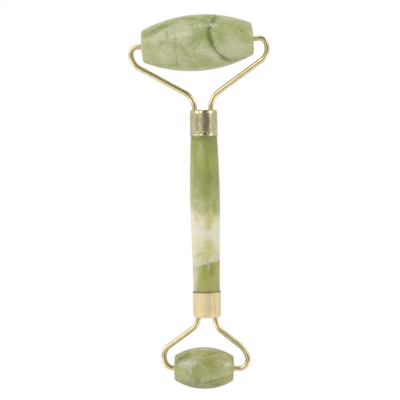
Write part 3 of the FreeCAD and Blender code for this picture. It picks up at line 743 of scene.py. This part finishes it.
def brass(name, tone, shade, metallic, rough, grain, tarnish, relief, lip=None, seam=None):
    """Brass with drawing lines along grain, and clouds of a duller shade as strong as tarnish.

    lip is the tone and reach of a dark lip, partly tarnish and partly painted shade, and seam is a seam's
    tone, degrees, cup radius and top.
    """
    material, tree, shader = new_material(name)
    own = millimetres(tree)
    tone, shade = linear(*tone), linear(*shade)
    cloud = noise(tree, own, 0.55, detail=5.0, rough=0.6, twist=0.4)
    dull = rescale(tree, cloud, 0.42, 0.72, 0.0, tarnish)
    drawn = noise(tree, grain(tree), 1.0, rough=0.6)
    streak = rescale(tree, drawn, 0.3, 0.7, 0.0, 0.35)
    colour = blend(tree, dull, tone, shade)
    colour = blend(tree, calc(tree, "MULTIPLY", streak, tarnish), colour, shade)
    if lip:
        lip_tarnish_and_shade_tone, reach = lip
        colour = blend(tree, lip_tarnish_and_shade(tree, own, reach), colour, linear(*lip_tarnish_and_shade_tone))
    if seam:
        seam_tone, *where = seam
        colour = blend(tree, seam_mask(tree, own, *where), colour, linear(*seam_tone))
    height = calc(tree, "ADD", calc(tree, "MULTIPLY", drawn, 0.5), cloud)
    fill(shader, {
        "Base Color": colour,
        "Metallic": metallic,
        "Roughness": rescale(tree, cloud, 0.35, 0.75, rough * 0.8, rough * 1.35),
        "Normal": bump(tree, height, relief),
    })
    return material


def wire_grain(tree):
    """Coordinates that follow the wire, so that its drawing lines run along it."""
    along = add(tree, "Attribute", {}, attribute_name="drawn").outputs["Vector"]
    return add(tree, "Mapping", {"Vector": along, "Scale": (3.0, 3.0, 0.12)}).outputs[0]


def ferrule_grain(tree):
    """Coordinates stretched along the cup, as its drawing lines are."""
    return millimetres(tree, (2.2, 2.2, 0.12))


def nylon():
    """Natural nylon, faintly cloudy."""
    material, tree, shader = new_material("natural_nylon")
    cloud = noise(tree, millimetres(tree), 0.9)
    colour = ramp(tree, cloud, [(0.3, linear(226, 222, 208)), (0.7, linear(240, 238, 228))])
    fill(shader, {
        "Base Color": colour,
        "Roughness": rescale(tree, cloud, 0.3, 0.7, 0.38, 0.5),
        "Normal": bump(tree, cloud, 0.02),
        "Subsurface Weight": 0.2,
        "Subsurface Scale": 0.6 * MM,
    })
    return material


def epoxy():
    """Set glue: amber, with small bubbles."""
    material, tree, shader = new_material("amber_epoxy")
    cell = add(tree, "TexVoronoi", {"Vector": millimetres(tree), "Scale": 1.4}).outputs["Distance"]
    bubble = rescale(tree, cell, 0.08, 0.16)
    colour = ramp(tree, bubble, [(0.0, linear(236, 226, 190)), (1.0, linear(214, 196, 142))])
    fill(shader, {"Base Color": colour, "Roughness": 0.2, "Normal": bump(tree, bubble, 0.03)})
    return material


LARGE_JADE = jade(
    "large_roller_jade", CELADON, web=((170, 176, 118), 0.45), grain=(1.1, 1.1, 0.5),
    streaks=0.12, specks=0.12,
    haze=((206, 209, 160), 0.5), pale=((222, 223, 188), 0.5), green=((168, 180, 94), 0.6),
    olive=((196, 192, 118), 0.55), deep=((138, 154, 76), 0.7), vein=((110, 122, 68), 0.7),
    # On this stone the crystal tone paints a highlight.
    line=((142, 150, 100), 0.4), crystal=((242, 243, 230), 0.6),
)
SMALL_JADE = jade(
    "small_roller_jade", OLIVE_CELADON, web=((158, 162, 98), 0.3), grain=(1.1, 1.1, 0.9),
    streaks=0.14, specks=0.14,
    haze=((200, 202, 160), 0.5), pale=((216, 217, 196), 0.65), green=((160, 166, 90), 0.55),
    olive=((186, 186, 96), 0.5), deep=((128, 130, 76), 0.75), vein=((134, 136, 72), 0.55),
    line=((146, 148, 98), 0.4), crystal=((236, 236, 220), 0.7),
)
ROD_JADE = jade(
    "handle_jade", banded, web=((150, 156, 100), 0.1), grain=(1.2, 1.2, 0.16),
    streaks=0.06, specks=0.17,
    haze=((200, 203, 158), 0.45), pale=((230, 227, 194), 0.75), green=((158, 169, 66), 0.65),
    # The deep and vein tones also paint the shade round the handle below the large ferrule.
    olive=((210, 204, 112), 0.75), deep=((140, 148, 70), 0.5), vein=((118, 126, 62), 0.6),
    line=((140, 136, 92), 0.45), crystal=((236, 236, 228), 0.8),
)
WIRE_BRASS = brass(
    "polished_wire_brass", (246, 229, 180), (186, 162, 116), metallic=1.0, rough=0.09,
    grain=wire_grain, tarnish=0.45, relief=0.012)
LARGE_BRASS = brass(
    "worn_ferrule_brass", (221, 211, 171), (170, 160, 118), metallic=1.0, rough=0.17,
    grain=ferrule_grain, tarnish=0.6, relief=0.05)
SMALL_BRASS = brass(
    "satin_ferrule_brass", (248, 231, 182), (232, 204, 140), metallic=0.36, rough=0.46,
    grain=ferrule_grain, tarnish=0.6, relief=0.04,
    # The dark lip is partly tarnish and partly painted shade at the mouth.
    lip=((116, 112, 68), 0.42), seam=((186, 162, 96), -34, SMALL["ferrule_radius"], 9.4))
NYLON = nylon()
EPOXY = epoxy()


# The handle's brass pieces

RUN_SPACING = 0.8
TURN_SPACING = 3.0
WIRE_SIDES = 32


class Pen:
    """Draws a flat line in runs and turns, and keeps its points (x, z) with their headings in degrees."""

    def __init__(self, x, z, heading):
        self.here = np.array((x, z), float)
        self.heading = heading
        self.points = [(self.here, heading)]

    def run(self, length):
        start, ahead = self.here, facing(self.heading)
        steps = max(1, math.ceil(length / RUN_SPACING))
        for step in range(1, steps + 1):
            self.here = start + ahead * length * step / steps
            self.points.append((self.here, self.heading))

    def turn(self, radius, degrees):
        """Bends to the left by so many degrees, or to the right where they are negative."""
        side = math.copysign(90, degrees)
        centre = self.here + radius * facing(self.heading + side)
        steps = max(2, math.ceil(abs(degrees) / TURN_SPACING))
        first = self.heading
        for step in range(1, steps + 1):
            self.heading = first + degrees * step / steps
            self.here = centre + radius * facing(self.heading - side)
            self.points.append((self.here, self.heading))


def arm_points(end, side, sign):
    """One arm's centre line in the end frame, from the crossbar's corner to the tip inside the stone."""
    arm = end[side]
    crossbar = end["ferrule_length"] - FERRULE["end_wall"] - WIRE["crossbar_gap"] - WIRE["radius"]
    foot = crossbar + WIRE["corner"]
    stub_heading = end["axle_tilt"] if sign < 0 else 180 + end["axle_tilt"]
    reach = sign * (end["stone_half"] - WIRE["stub_depth"])
    tip = np.array((-end["axle_offset"], end["axle_reach"])) + reach * facing(end["axle_tilt"])

    def bend(arm_length):
        pen = Pen(sign * arm["leg"], foot, 90)
        pen.run(end["ferrule_length"] + arm["rise"] - foot)
        pen.turn(arm["throat"], -sign * (90 - arm["arm"]))
        slope = pen.heading
        pen.run(arm_length)
        pen.turn(arm["elbow"], sign * arm["elbow_turn"])
        pen.turn(arm["hook"], stub_heading - pen.heading)
        return pen, slope

    # The arm is as long as it takes for the hook to end on the stone's axis.
    trial, slope = bend(0.0)
    off_axis = facing(stub_heading + 90)
    pen, _ = bend((tip - trial.here).dot(off_axis) / facing(slope).dot(off_axis))
    pen.run(math.dist(pen.here, tip))
    return pen.points


def yoke_line(end):
    """The whole wire's centre line, from the left tip through the crossbar to the right one."""
    left = [(point, heading + 180) for point, heading in arm_points(end, "left", -1)[::-1]]
    right = arm_points(end, "right", 1)
    corner = WIRE["corner"]
    pen = Pen(*left[-1][0], -90)
    pen.turn(corner, 90)
    pen.run(end["left"]["leg"] + end["right"]["leg"] - 2 * corner)
    pen.turn(corner, 90)
    return left + pen.points[1:-1] + right


def tube(route, radius, sides, bevel):
    """A round tube along a flat route in the XZ plane, with bevelled ends.

    Gives its points, its faces, and for each point the place round and along the wire.
    """
    (tip, tip_heading), (tail, tail_heading) = route[0], route[-1]
    stations = [
        (tip, tip_heading, radius - bevel),
        (tip + facing(tip_heading) * bevel, tip_heading, radius),
        *((point, heading, radius) for point, heading in route[1:-1]),
        (tail - facing(tail_heading) * bevel, tail_heading, radius),
        (tail, tail_heading, radius - bevel),
    ]
    points, drawn, faces = [], [], []
    length, before = 0.0, tip
    for centre, heading, size in stations:
        length += math.dist(before, centre)
        before = centre
        for side in range(sides):
            angle = math.tau * side / sides
            across, up = size * math.cos(angle), size * math.sin(angle)
            x, z = centre + facing(heading + 90) * across
            points.append((x, up, z))
            drawn.append((across, up, length))
    for row in range(len(stations) - 1):
        first = row * sides
        for side in range(sides):
            after = (side + 1) % sides
            faces.append((first + side, first + sides + side, first + sides + after, first + after))
    faces.append(tuple(range(sides)))
    faces.append(tuple(range(len(points) - sides, len(points)))[::-1])
    return np.array(points), faces, np.array(drawn)


def make_yoke(end):
    name = end["name"]
    points, faces, drawn = tube(yoke_line(end), WIRE["radius"], WIRE_SIDES, WIRE["end_bevel"])
    piece = add_piece(f"{name}_brass_yoke", points, faces, mouth_place(end, ACROSS), "handle",
                      f"{name}_yoke_wire", WIRE_BRASS)
    attribute = piece.data.attributes.new("drawn", "FLOAT_VECTOR", "POINT")
    attribute.data.foreach_set("vector", drawn.astype(np.float32).ravel())


FERRULE_GRID = 0.16
ROOF_GRID = 0.5
INNER_WALL_GRID = 1.0
FERRULE_SIDES = 220
SHOULDER_LENGTH = 0.7
SHOULDER_DROP = 0.18


def ferrule_outline(end):
    """Half section of a drawn cup: from the middle of its roof inside, over the lip, to the outer end."""
    outer, length = end["ferrule_radius"], end["ferrule_length"]
    inner, roof = outer - FERRULE["wall"], length - FERRULE["end_wall"]
    inside = FERRULE["inner_round"]
    lip = FERRULE["wall"] / 2
    # The closed end is worn: its skin leans in a little before it rounds over.
    corner = end["ferrule_round"] - SHOULDER_DROP
    shoulder = outer - SHOULDER_DROP
    top_round = length - corner
    cup = Outline((0, roof))
    cup.line((inner - inside, roof), ROOF_GRID)
    cup.arc((inner - inside, roof - inside), (inner, roof - inside), FERRULE_GRID)
    cup.line((inner, lip), INNER_WALL_GRID)
    cup.arc((inner + lip, lip), (inner + lip, 0), FERRULE_GRID / 4)
    cup.arc((inner + lip, lip), (outer, lip), FERRULE_GRID / 4)
    cup.line((outer, top_round - SHOULDER_LENGTH), FERRULE_GRID)
    cup.line((shoulder, top_round), FERRULE_GRID)
    cup.arc((shoulder - corner, top_round), (shoulder - corner, length), FERRULE_GRID / 2)
    cup.line((0, length), ROOF_GRID)
    return cup.points


DRILL_SIDES = 48
DRILL_REACH = 1.0
SLIVER = 0.002


def drill(piece, end):
    """Cuts the two leg holes through the closed end."""
    own_y_side = 1 if end is LARGE else -1
    radius, reach = FERRULE["hole_radius"], DRILL_REACH
    outline = [(0, -reach), (radius, -reach), (radius, reach), (0, reach)]
    bits = []
    for side, sign in SIDES:
        points, faces = lathe(outline, DRILL_SIDES)
        points += np.array((0, own_y_side * sign * end[side]["leg"], end["ferrule_length"]))
        bit = draw("drill", points, faces)
        bit.matrix_world = piece.matrix_world
        cut = piece.modifiers.new(side, "BOOLEAN")
        cut.operation = "DIFFERENCE"
        cut.solver = "EXACT"
        cut.object = bit
        bits.append(bit)
    bpy.context.view_layer.update()
    seen = piece.evaluated_get(bpy.context.evaluated_depsgraph_get())
    drilled = bpy.data.meshes.new_from_object(seen)
    piece.modifiers.clear()
    # The cuts leave slivers where they pass close by a vertex of the cup.
    cleaner = bmesh.new()
    cleaner.from_mesh(drilled)
    bmesh.ops.remove_doubles(cleaner, verts=cleaner.verts, dist=SLIVER * MM)
    cleaner.to_mesh(drilled)
    cleaner.free()
    piece.data = drilled
    for bit in bits:
        bpy.data.objects.remove(bit)


# Hand work in the ferrules, in mm and in degrees from the top towards +X: a bead round the mouth, rings
# pressed in round the cup as (height, width, depth), dents as (degrees, height, half width, depth) and
# seams along the cup as (degrees, half width, depth).
LARGE_WORK = dict(
    bead=0.1,
    rings=[(8.5, 0.25, 0.06), (7.4, 0.22, 0.03), (1.4, 0.4, 0.06)],
    dents=[
        (18, 1.3, 0.4, 0.09), (38, 1.8, 0.35, 0.06), (46, 2.9, 0.3, 0.05), (-34, 1.0, 0.5, 0.05),
        (-12, 0.9, 0.35, 0.05), (60, 1.0, 0.5, 0.06), (-25, 6.2, 0.3, 0.03), (8, 5.0, 0.6, 0.03),
        (120, 2.5, 0.5, 0.06), (-150, 5.5, 0.6, 0.05), (-100, 1.4, 0.4, 0.06), (170, 1.1, 0.4, 0.06),
    ],
    seams=[(178, 0.25, 0.04)],
)
SMALL_WORK = dict(
    bead=0.04,
    rings=[(0.75, 0.25, 0.05)],
    dents=[
        (31, 0.7, 0.45, 0.12), (-30, 9.0, 0.5, 0.07), (38, 8.9, 0.5, 0.07), (-10, 4.0, 0.8, 0.03),
        (130, 3.0, 0.6, 0.05), (-120, 6.0, 0.6, 0.05),
    ],
    seams=[(31, 0.35, 0.1), (-52, 0.3, 0.02)],
)


BEAD_WIDTH = 0.35
# Waves in the whole skin as (how many go round, radians to the millimetre, shift), and waves in the line
# of a seam as (millimetres, radians to the millimetre).
RIPPLE_DEPTH = 0.015
RIPPLES = ((3, 0.9, 0.0), (5, -1.7, 1.0))
SEAM_WAVES = ((0.25, 1.1), (0.12, 3.1))
# How much of the wall and of the end's round counts as skin.
SKIN_OF_WALL = 0.4
SKIN_OF_ROUND = 0.5


def work_ferrule(points, end, work):
    """Moves the cup's outer skin by about a tenth of a millimetre, as hand work leaves it."""
    x, y, height = points.T
    to_plus_x = 1 if end is LARGE else -1
    radius, angle = np.hypot(x, y), np.arctan2(to_plus_x * y, x)

    def beside(degrees):
        """How far round the cup each point is from an angle, in millimetres."""
        return end["ferrule_radius"] * ((angle - math.radians(degrees) + math.pi) % math.tau - math.pi)

    moved = work["bead"] * np.exp(-((height - BEAD_WIDTH) / BEAD_WIDTH) ** 2)
    for turns, pitch, shift in RIPPLES:
        moved += RIPPLE_DEPTH * np.sin(turns * angle + pitch * height + shift)
    for place, width, depth in work["rings"]:
        moved -= depth * np.exp(-((height - place) / width) ** 2)
    for degrees, place, width, depth in work["dents"]:
        moved -= depth * np.exp(-(beside(degrees)**2 + (height - place) ** 2) / width**2)
    wander = sum(size * np.sin(pitch * height) for size, pitch in SEAM_WAVES)
    for degrees, width, depth in work["seams"]:
        moved -= depth * np.exp(-((beside(degrees) - wander) / width) ** 2)
    skin = radius > end["ferrule_radius"] - FERRULE["wall"] * SKIN_OF_WALL
    skin &= height < end["ferrule_length"] - end["ferrule_round"] * SKIN_OF_ROUND
    points[skin, :2] *= (1 + moved[skin] / radius[skin])[:, None]
    return points


def make_ferrule(end, material, work):
    name = end["name"]
    points, faces = lathe(ferrule_outline(end), FERRULE_SIDES)
    points = work_ferrule(points, end, work)
    piece = add_piece(f"{name}_brass_ferrule", points, faces, mouth_place(end, UP), "handle",
                      f"{name}_ferrule", material)
    drill(piece, end)


# The jade and the nylon


def make_stone(end, material, marks, variant):
    name = end["name"]
    points, faces = lathe(stone_outline(end), STONE_SIDES[name], ring=True)
    points = hand_ground(points, STONE_GRINDING, variant)
    piece = add_piece(f"{name}_jade_stone", points, faces, stone_place(end), f"{name}_roller",
                      f"{name}_roller_stone", material)
    add_fields(piece, points, marks, lambda along: barrel_radius(end, along))


def make_rod(variant):
    points, faces = lathe(rod_outline(), ROD_SIDES)
    points = hand_ground(points, ROD_GRINDING, variant)
    where = place(handle_middle, UP, handle_axis)
    piece = add_piece("jade_rod", points, faces, where, "handle", "handle_rod", ROD_JADE)
    add_fields(piece, points, ROD_MARKS, rod_radius)


BUSH_SIDES = 64
BUSH_ROUND = 0.08
BUSH_GRID = dict(bevel=0.1, face=0.2, round=0.03, wall=1.0)


def bush_outline():
    """Half section of a bush about its middle, as a ring of (radius, place along the axle)."""
    bore, outer, half, bevel = BUSH["bore"], BUSH["outer"], BUSH["length"] / 2, BUSH["bevel"]
    flat = outer - BUSH_ROUND
    bush = Outline((bore, bevel - half))
    bush.line((bore + bevel, -half), BUSH_GRID["bevel"])
    bush.line((flat, -half), BUSH_GRID["face"])
    bush.arc((flat, BUSH_ROUND - half), (outer, BUSH_ROUND - half), BUSH_GRID["round"])
    upper = [(radius, -height) for radius, height in bush.points[::-1]]
    bush.line(upper[0], BUSH_GRID["wall"])
    return bush.points + upper[1:]


def make_bush(end, side, sign):
    name = end["name"]
    points, faces = lathe(bush_outline(), BUSH_SIDES, ring=True)
    points[:, 2] += sign * (end["stone_half"] - BUSH["recess"] - BUSH["length"] / 2)
    add_piece(f"{name}_nylon_bush_{side}", points, faces, stone_place(end), f"{name}_roller",
              f"{name}_bush_{side}", NYLON)


make_rod(variant=3)
make_stone(LARGE, LARGE_JADE, LARGE_MARKS, variant=1)
make_stone(SMALL, SMALL_JADE, SMALL_MARKS, variant=2)
make_ferrule(LARGE, LARGE_BRASS, LARGE_WORK)
make_ferrule(SMALL, SMALL_BRASS, SMALL_WORK)
for end in (LARGE, SMALL):
    make_yoke(end)
    for side, sign in SIDES:
        make_bush(end, side, sign)
    plug = frame["nodes"][f"{end['name']}_epoxy_plug"]
    plug.data.materials.clear()
    plug.data.materials.append(EPOXY)


# The studio

WHITE = (1.0, 1.0, 1.0, 1.0)
TABLE_HALF = 3000.0
TABLE_GREY = (0.7, 0.7, 0.7, 1.0)
TABLE_GLOW = 0.22


def make_table():
    """A table that the camera sees as plain white, and that everything else sees as a pale grey."""
    corners = np.array([(-1, -1, 0), (1, -1, 0), (1, 1, 0), (-1, 1, 0)]) * TABLE_HALF
    table = draw("table", corners, [(0, 1, 2, 3)])
    material, tree, shader = new_material("white_table")
    fill(shader, {
        "Base Color": TABLE_GREY,
        "Roughness": 0.9,
        "Emission Color": WHITE,
        "Emission Strength": TABLE_GLOW,
    })
    seen = add(tree, "LightPath", {}).outputs["Is Camera Ray"]
    glow = add(tree, "Emission", {"Color": WHITE, "Strength": 1.0}).outputs[0]
    surface = add(tree, "MixShader", {0: seen, 1: shader.outputs[0], 2: glow}).outputs[0]
    fill(tree.nodes["Material Output"], {"Surface": surface})
    table.data.materials.append(material)


# Parts of the white studio that are darker or brighter: degrees from straight above, compass degrees
# from +X to +Y, the half width in degrees, and what the light is multiplied by there. A part fades out
# between the two shares of its half width in PART_FADE.
STUDIO_LIGHT = 0.82
STUDIO_PARTS = [
    (25, 5, 23, 0.3), (8, 180, 15, 0.62), (59, 180, 12, 0.6), (90, 0, 9, 0.6), (52, 68, 17, 0.25),
    (84, 62, 12, 0.4), (34, 112, 13, 2.0), (46, 124, 13, 1.9), (66, 152, 14, 2.2), (68, 28, 14, 2.5),
    (66, 208, 13, 2.2), (66, 332, 13, 2.3), (62, 245, 14, 1.25), (78, 270, 22, 0.55), (20, 86, 13, 0.15),
]
PART_FADE = (0.6, 1.4)


def make_world():
    """A studio that the camera sees as plain white, and that lights the roller unevenly."""
    world = bpy.data.worlds.new("studio")
    world.use_nodes = True
    tree = world.node_tree
    direction = add(tree, "TexCoord", {}).outputs["Generated"]
    light = STUDIO_LIGHT
    for from_top, compass, half_width, factor in STUDIO_PARTS:
        out, up = facing(90 - from_top)
        centre = (*out * facing(compass), up)
        near = add(tree, "VectorMath", {0: direction, 1: centre}, operation="DOT_PRODUCT").outputs["Value"]
        inner, outer = (math.cos(math.radians(half_width * share)) for share in PART_FADE)
        light = calc(tree, "MULTIPLY", light, rescale(tree, near, outer, inner, 1.0, factor))
    grey = add(tree, "CombineColor", {0: light, 1: light, 2: light}).outputs[0]
    seen = add(tree, "LightPath", {}).outputs["Is Camera Ray"]
    fill(tree.nodes["Background"], {"Color": blend(tree, seen, grey, WHITE), "Strength": 1.0})
    bpy.context.scene.world = world


CAMERA_AIM = Vector((-0.6685, 0.8933, 10.0)) * MM
CAMERA_DISTANCE = 840 * MM
CAMERA_NEAR = 10 * MM
CAMERA_TILT = math.radians(1.5)
CAMERA_ROLL = math.radians(1.055)
CAMERA_LENS = 195.7
CAMERA_SENSOR = 36.0


def make_camera():
    """Looks down on the roller, tilted a little towards the large stone."""
    camera = bpy.data.cameras.new("camera")
    camera.lens = CAMERA_LENS
    camera.sensor_width = CAMERA_SENSOR
    camera.clip_start = CAMERA_NEAR
    viewer = bpy.data.objects.new("camera", camera)
    bpy.context.scene.collection.objects.link(viewer)
    back = Vector((0, math.sin(CAMERA_TILT), math.cos(CAMERA_TILT)))
    up = Vector((math.sin(CAMERA_ROLL), math.cos(CAMERA_ROLL), 0))
    right = up.cross(back)
    viewer.matrix_world = place(CAMERA_AIM + back * CAMERA_DISTANCE, right, back)
    bpy.context.scene.camera = viewer


make_table()
make_world()
make_camera()
bpy.context.scene.view_settings.view_transform = "Standard"
